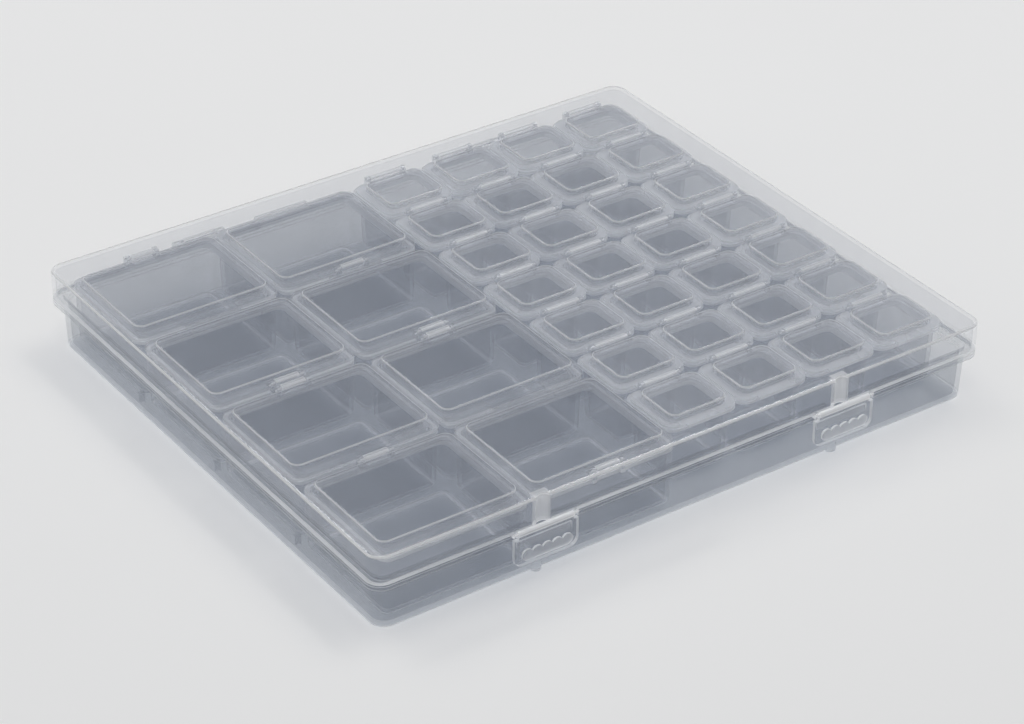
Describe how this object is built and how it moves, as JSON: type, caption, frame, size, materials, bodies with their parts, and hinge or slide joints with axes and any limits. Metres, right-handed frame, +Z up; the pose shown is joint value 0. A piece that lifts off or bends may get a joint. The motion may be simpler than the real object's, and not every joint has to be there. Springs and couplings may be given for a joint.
{
  "type": "compartment storage box",
  "caption": "Flat clear hinged case with front latches, filled with large and small compartments that each have their own flip lid.",
  "frame": {"origin": "bottom centre of the bounding box, on the surface the case rests on", "axes": "+X along the latch side to the small compartments, +Y from the latches to the case hinge, +Z up"},
  "size_m": [0.22, 0.195, 0.027],
  "materials": {
    "case_clear": "clear, slightly milky moulded polypropylene",
    "latch_clear": "clear, slightly milky moulded polypropylene",
    "box_clear": "clear, slightly milky moulded polypropylene",
    "lid_clear": "clear, slightly milky moulded polypropylene"
  },
  "bodies": {
    "tray_and_boxes": {"case_tray": "case_clear", "large_box_a1": "box_clear", "large_box_a2": "box_clear", "large_box_b1": "box_clear", "large_box_b2": "box_clear", "large_box_c1": "box_clear", "large_box_c2": "box_clear", "large_box_d1": "box_clear", "large_box_d2": "box_clear", "small_strip_1": "box_clear", "small_strip_2": "box_clear", "small_strip_3": "box_clear", "small_strip_4": "box_clear", "small_strip_5": "box_clear", "small_strip_6": "box_clear", "small_strip_7": "box_clear"},
    "case_lid": {"case_lid": "case_clear"},
    "latch_left": {"latch_left": "latch_clear"},
    "latch_right": {"latch_right": "latch_clear"},
    "large_lid_a1": {"large_lid_a1": "lid_clear"},
    "large_lid_a2": {"large_lid_a2": "lid_clear"},
    "large_lid_b1": {"large_lid_b1": "lid_clear"},
    "large_lid_b2": {"large_lid_b2": "lid_clear"},
    "large_lid_c1": {"large_lid_c1": "lid_clear"},
    "large_lid_c2": {"large_lid_c2": "lid_clear"},
    "large_lid_d1": {"large_lid_d1": "lid_clear"},
    "large_lid_d2": {"large_lid_d2": "lid_clear"},
    "small_lid_1_1": {"small_lid_1_1": "lid_clear"},
    "small_lid_1_2": {"small_lid_1_2": "lid_clear"},
    "small_lid_1_3": {"small_lid_1_3": "lid_clear"},
    "small_lid_1_4": {"small_lid_1_4": "lid_clear"},
    "small_lid_2_1": {"small_lid_2_1": "lid_clear"},
    "small_lid_2_2": {"small_lid_2_2": "lid_clear"},
    "small_lid_2_3": {"small_lid_2_3": "lid_clear"},
    "small_lid_2_4": {"small_lid_2_4": "lid_clear"},
    "small_lid_3_1": {"small_lid_3_1": "lid_clear"},
    "small_lid_3_2": {"small_lid_3_2": "lid_clear"},
    "small_lid_3_3": {"small_lid_3_3": "lid_clear"},
    "small_lid_3_4": {"small_lid_3_4": "lid_clear"},
    "small_lid_4_1": {"small_lid_4_1": "lid_clear"},
    "small_lid_4_2": {"small_lid_4_2": "lid_clear"},
    "small_lid_4_3": {"small_lid_4_3": "lid_clear"},
    "small_lid_4_4": {"small_lid_4_4": "lid_clear"},
    "small_lid_5_1": {"small_lid_5_1": "lid_clear"},
    "small_lid_5_2": {"small_lid_5_2": "lid_clear"},
    "small_lid_5_3": {"small_lid_5_3": "lid_clear"},
    "small_lid_5_4": {"small_lid_5_4": "lid_clear"},
    "small_lid_6_1": {"small_lid_6_1": "lid_clear"},
    "small_lid_6_2": {"small_lid_6_2": "lid_clear"},
    "small_lid_6_3": {"small_lid_6_3": "lid_clear"},
    "small_lid_6_4": {"small_lid_6_4": "lid_clear"},
    "small_lid_7_1": {"small_lid_7_1": "lid_clear"},
    "small_lid_7_2": {"small_lid_7_2": "lid_clear"},
    "small_lid_7_3": {"small_lid_7_3": "lid_clear"},
    "small_lid_7_4": {"small_lid_7_4": "lid_clear"}
  },
  "joints": [
    {"name": "case_lid_hinge", "type": "hinge", "parent": "tray_and_boxes", "child": "case_lid", "pos_m": [0, 0.09552, 0.017], "axis": [-1, 0, 0], "range_deg": [0, 180]},
    {"name": "latch_left_hinge", "type": "hinge", "parent": "case_lid", "child": "latch_left", "pos_m": [-0.054, -0.09617, 0.01805], "axis": [-1, 0, 0], "range_deg": [0, 120]},
    {"name": "latch_right_hinge", "type": "hinge", "parent": "case_lid", "child": "latch_right", "pos_m": [0.054, -0.09617, 0.01805], "axis": [-1, 0, 0], "range_deg": [0, 120]},
    {"name": "large_lid_a1_hinge", "type": "hinge", "parent": "tray_and_boxes", "child": "large_lid_a1", "pos_m": [-0.07925, -0.04743, 0.0235], "axis": [-1, 0, 0], "range_deg": [0, 90]},
    {"name": "large_lid_a2_hinge", "type": "hinge", "parent": "tray_and_boxes", "child": "large_lid_a2", "pos_m": [-0.02775, -0.08893, 0.0235], "axis": [1, 0, 0], "range_deg": [0, 90]},
    {"name": "large_lid_b1_hinge", "type": "hinge", "parent": "tray_and_boxes", "child": "large_lid_b1", "pos_m": [-0.07925, -0.00243, 0.0235], "axis": [-1, 0, 0], "range_deg": [0, 90]},
    {"name": "large_lid_b2_hinge", "type": "hinge", "parent": "tray_and_boxes", "child": "large_lid_b2", "pos_m": [-0.02775, -0.00243, 0.0235], "axis": [-1, 0, 0], "range_deg": [0, 90]},
    {"name": "large_lid_c1_hinge", "type": "hinge", "parent": "tray_and_boxes", "child": "large_lid_c1", "pos_m": [-0.07925, 0.00108, 0.0235], "axis": [1, 0, 0], "range_deg": [0, 90]},
    {"name": "large_lid_c2_hinge", "type": "hinge", "parent": "tray_and_boxes", "child": "large_lid_c2", "pos_m": [-0.02775, 0.00108, 0.0235], "axis": [1, 0, 0], "range_deg": [0, 90]},
    {"name": "large_lid_d1_hinge", "type": "hinge", "parent": "tray_and_boxes", "child": "large_lid_d1", "pos_m": [-0.07925, 0.08758, 0.0235], "axis": [-1, 0, 0], "range_deg": [0, 90]},
    {"name": "large_lid_d2_hinge", "type": "hinge", "parent": "tray_and_boxes", "child": "large_lid_d2", "pos_m": [-0.02775, 0.04607, 0.0235], "axis": [1, 0, 0], "range_deg": [0, 90]},
    {"name": "small_lid_1_1_hinge", "type": "hinge", "parent": "tray_and_boxes", "child": "small_lid_1_1", "pos_m": [0.01225, -0.06103, 0.0238], "axis": [-1, 0, 0], "range_deg": [0, 90]},
    {"name": "small_lid_1_2_hinge", "type": "hinge", "parent": "tray_and_boxes", "child": "small_lid_1_2", "pos_m": [0.03875, -0.06103, 0.0238], "axis": [-1, 0, 0], "range_deg": [0, 90]},
    {"name": "small_lid_1_3_hinge", "type": "hinge", "parent": "tray_and_boxes", "child": "small_lid_1_3", "pos_m": [0.06525, -0.06103, 0.0238], "axis": [-1, 0, 0], "range_deg": [0, 90]},
    {"name": "small_lid_1_4_hinge", "type": "hinge", "parent": "tray_and_boxes", "child": "small_lid_1_4", "pos_m": [0.09175, -0.06103, 0.0238], "axis": [-1, 0, 0], "range_deg": [0, 90]},
    {"name": "small_lid_2_1_hinge", "type": "hinge", "parent": "tray_and_boxes", "child": "small_lid_2_1", "pos_m": [0.01225, -0.03612, 0.0238], "axis": [-1, 0, 0], "range_deg": [0, 90]},
    {"name": "small_lid_2_2_hinge", "type": "hinge", "parent": "tray_and_boxes", "child": "small_lid_2_2", "pos_m": [0.03875, -0.03612, 0.0238], "axis": [-1, 0, 0], "range_deg": [0, 90]},
    {"name": "small_lid_2_3_hinge", "type": "hinge", "parent": "tray_and_boxes", "child": "small_lid_2_3", "pos_m": [0.06525, -0.03612, 0.0238], "axis": [-1, 0, 0], "range_deg": [0, 90]},
    {"name": "small_lid_2_4_hinge", "type": "hinge", "parent": "tray_and_boxes", "child": "small_lid_2_4", "pos_m": [0.09175, -0.03612, 0.0238], "axis": [-1, 0, 0], "range_deg": [0, 90]},
    {"name": "small_lid_3_1_hinge", "type": "hinge", "parent": "tray_and_boxes", "child": "small_lid_3_1", "pos_m": [0.01225, -0.01123, 0.0238], "axis": [-1, 0, 0], "range_deg": [0, 90]},
    {"name": "small_lid_3_2_hinge", "type": "hinge", "parent": "tray_and_boxes", "child": "small_lid_3_2", "pos_m": [0.03875, -0.01123, 0.0238], "axis": [-1, 0, 0], "range_deg": [0, 90]},
    {"name": "small_lid_3_3_hinge", "type": "hinge", "parent": "tray_and_boxes", "child": "small_lid_3_3", "pos_m": [0.06525, -0.01123, 0.0238], "axis": [-1, 0, 0], "range_deg": [0, 90]},
    {"name": "small_lid_3_4_hinge", "type": "hinge", "parent": "tray_and_boxes", "child": "small_lid_3_4", "pos_m": [0.09175, -0.01123, 0.0238], "axis": [-1, 0, 0], "range_deg": [0, 90]},
    {"name": "small_lid_4_1_hinge", "type": "hinge", "parent": "tray_and_boxes", "child": "small_lid_4_1", "pos_m": [0.01225, 0.01367, 0.0238], "axis": [-1, 0, 0], "range_deg": [0, 90]},
    {"name": "small_lid_4_2_hinge", "type": "hinge", "parent": "tray_and_boxes", "child": "small_lid_4_2", "pos_m": [0.03875, 0.01367, 0.0238], "axis": [-1, 0, 0], "range_deg": [0, 90]},
    {"name": "small_lid_4_3_hinge", "type": "hinge", "parent": "tray_and_boxes", "child": "small_lid_4_3", "pos_m": [0.06525, 0.01367, 0.0238], "axis": [-1, 0, 0], "range_deg": [0, 90]},
    {"name": "small_lid_4_4_hinge", "type": "hinge", "parent": "tray_and_boxes", "child": "small_lid_4_4", "pos_m": [0.09175, 0.01367, 0.0238], "axis": [-1, 0, 0], "range_deg": [0, 90]},
    {"name": "small_lid_5_1_hinge", "type": "hinge", "parent": "tray_and_boxes", "child": "small_lid_5_1", "pos_m": [0.01225, 0.03857, 0.0238], "axis": [-1, 0, 0], "range_deg": [0, 90]},
    {"name": "small_lid_5_2_hinge", "type": "hinge", "parent": "tray_and_boxes", "child": "small_lid_5_2", "pos_m": [0.03875, 0.03857, 0.0238], "axis": [-1, 0, 0], "range_deg": [0, 90]},
    {"name": "small_lid_5_3_hinge", "type": "hinge", "parent": "tray_and_boxes", "child": "small_lid_5_3", "pos_m": [0.06525, 0.03857, 0.0238], "axis": [-1, 0, 0], "range_deg": [0, 90]},
    {"name": "small_lid_5_4_hinge", "type": "hinge", "parent": "tray_and_boxes", "child": "small_lid_5_4", "pos_m": [0.09175, 0.03857, 0.0238], "axis": [-1, 0, 0], "range_deg": [0, 90]},
    {"name": "small_lid_6_1_hinge", "type": "hinge", "parent": "tray_and_boxes", "child": "small_lid_6_1", "pos_m": [0.01225, 0.06348, 0.0238], "axis": [-1, 0, 0], "range_deg": [0, 90]},
    {"name": "small_lid_6_2_hinge", "type": "hinge", "parent": "tray_and_boxes", "child": "small_lid_6_2", "pos_m": [0.03875, 0.06348, 0.0238], "axis": [-1, 0, 0], "range_deg": [0, 90]},
    {"name": "small_lid_6_3_hinge", "type": "hinge", "parent": "tray_and_boxes", "child": "small_lid_6_3", "pos_m": [0.06525, 0.06348, 0.0238], "axis": [-1, 0, 0], "range_deg": [0, 90]},
    {"name": "small_lid_6_4_hinge", "type": "hinge", "parent": "tray_and_boxes", "child": "small_lid_6_4", "pos_m": [0.09175, 0.06348, 0.0238], "axis": [-1, 0, 0], "range_deg": [0, 90]},
    {"name": "small_lid_7_1_hinge", "type": "hinge", "parent": "tray_and_boxes", "child": "small_lid_7_1", "pos_m": [0.01225, 0.08837, 0.0238], "axis": [-1, 0, 0], "range_deg": [0, 90]},
    {"name": "small_lid_7_2_hinge", "type": "hinge", "parent": "tray_and_boxes", "child": "small_lid_7_2", "pos_m": [0.03875, 0.08837, 0.0238], "axis": [-1, 0, 0], "range_deg": [0, 90]},
    {"name": "small_lid_7_3_hinge", "type": "hinge", "parent": "tray_and_boxes", "child": "small_lid_7_3", "pos_m": [0.06525, 0.08837, 0.0238], "axis": [-1, 0, 0], "range_deg": [0, 90]},
    {"name": "small_lid_7_4_hinge", "type": "hinge", "parent": "tray_and_boxes", "child": "small_lid_7_4", "pos_m": [0.09175, 0.08837, 0.0238], "axis": [-1, 0, 0], "range_deg": [0, 90]}
  ],
  "couplings": [
    {"joint": "large_lid_a1_hinge", "follows": "case_lid_hinge", "ratio": 0.5},
    {"joint": "large_lid_a2_hinge", "follows": "case_lid_hinge", "ratio": 0.5},
    {"joint": "large_lid_b1_hinge", "follows": "case_lid_hinge", "ratio": 0.5},
    {"joint": "large_lid_b2_hinge", "follows": "case_lid_hinge", "ratio": 0.5},
    {"joint": "large_lid_c1_hinge", "follows": "case_lid_hinge", "ratio": 0.5},
    {"joint": "large_lid_c2_hinge", "follows": "case_lid_hinge", "ratio": 0.5},
    {"joint": "large_lid_d1_hinge", "follows": "case_lid_hinge", "ratio": 0.5},
    {"joint": "large_lid_d2_hinge", "follows": "case_lid_hinge", "ratio": 0.3333},
    {"joint": "small_lid_1_1_hinge", "follows": "case_lid_hinge", "ratio": 0.5},
    {"joint": "small_lid_1_2_hinge", "follows": "case_lid_hinge", "ratio": 0.5},
    {"joint": "small_lid_1_3_hinge", "follows": "case_lid_hinge", "ratio": 0.5},
    {"joint": "small_lid_1_4_hinge", "follows": "case_lid_hinge", "ratio": 0.5},
    {"joint": "small_lid_2_1_hinge", "follows": "case_lid_hinge", "ratio": 0.5},
    {"joint": "small_lid_2_2_hinge", "follows": "case_lid_hinge", "ratio": 0.5},
    {"joint": "small_lid_2_3_hinge", "follows": "case_lid_hinge", "ratio": 0.5},
    {"joint": "small_lid_2_4_hinge", "follows": "case_lid_hinge", "ratio": 0.5},
    {"joint": "small_lid_3_1_hinge", "follows": "case_lid_hinge", "ratio": 0.5},
    {"joint": "small_lid_3_2_hinge", "follows": "case_lid_hinge", "ratio": 0.5},
    {"joint": "small_lid_3_3_hinge", "follows": "case_lid_hinge", "ratio": 0.5},
    {"joint": "small_lid_3_4_hinge", "follows": "case_lid_hinge", "ratio": 0.5},
    {"joint": "small_lid_4_1_hinge", "follows": "case_lid_hinge", "ratio": 0.5},
    {"joint": "small_lid_4_2_hinge", "follows": "case_lid_hinge", "ratio": 0.5},
    {"joint": "small_lid_4_3_hinge", "follows": "case_lid_hinge", "ratio": 0.5},
    {"joint": "small_lid_4_4_hinge", "follows": "case_lid_hinge", "ratio": 0.5},
    {"joint": "small_lid_5_1_hinge", "follows": "case_lid_hinge", "ratio": 0.5},
    {"joint": "small_lid_5_2_hinge", "follows": "case_lid_hinge", "ratio": 0.5},
    {"joint": "small_lid_5_3_hinge", "follows": "case_lid_hinge", "ratio": 0.5},
    {"joint": "small_lid_5_4_hinge", "follows": "case_lid_hinge", "ratio": 0.5},
    {"joint": "small_lid_6_1_hinge", "follows": "case_lid_hinge", "ratio": 0.5},
    {"joint": "small_lid_6_2_hinge", "follows": "case_lid_hinge", "ratio": 0.5},
    {"joint": "small_lid_6_3_hinge", "follows": "case_lid_hinge", "ratio": 0.5},
    {"joint": "small_lid_6_4_hinge", "follows": "case_lid_hinge", "ratio": 0.5},
    {"joint": "small_lid_7_1_hinge", "follows": "case_lid_hinge", "ratio": 0.5},
    {"joint": "small_lid_7_2_hinge", "follows": "case_lid_hinge", "ratio": 0.5},
    {"joint": "small_lid_7_3_hinge", "follows": "case_lid_hinge", "ratio": 0.5},
    {"joint": "small_lid_7_4_hinge", "follows": "case_lid_hinge", "ratio": 0.5}
  ]
}
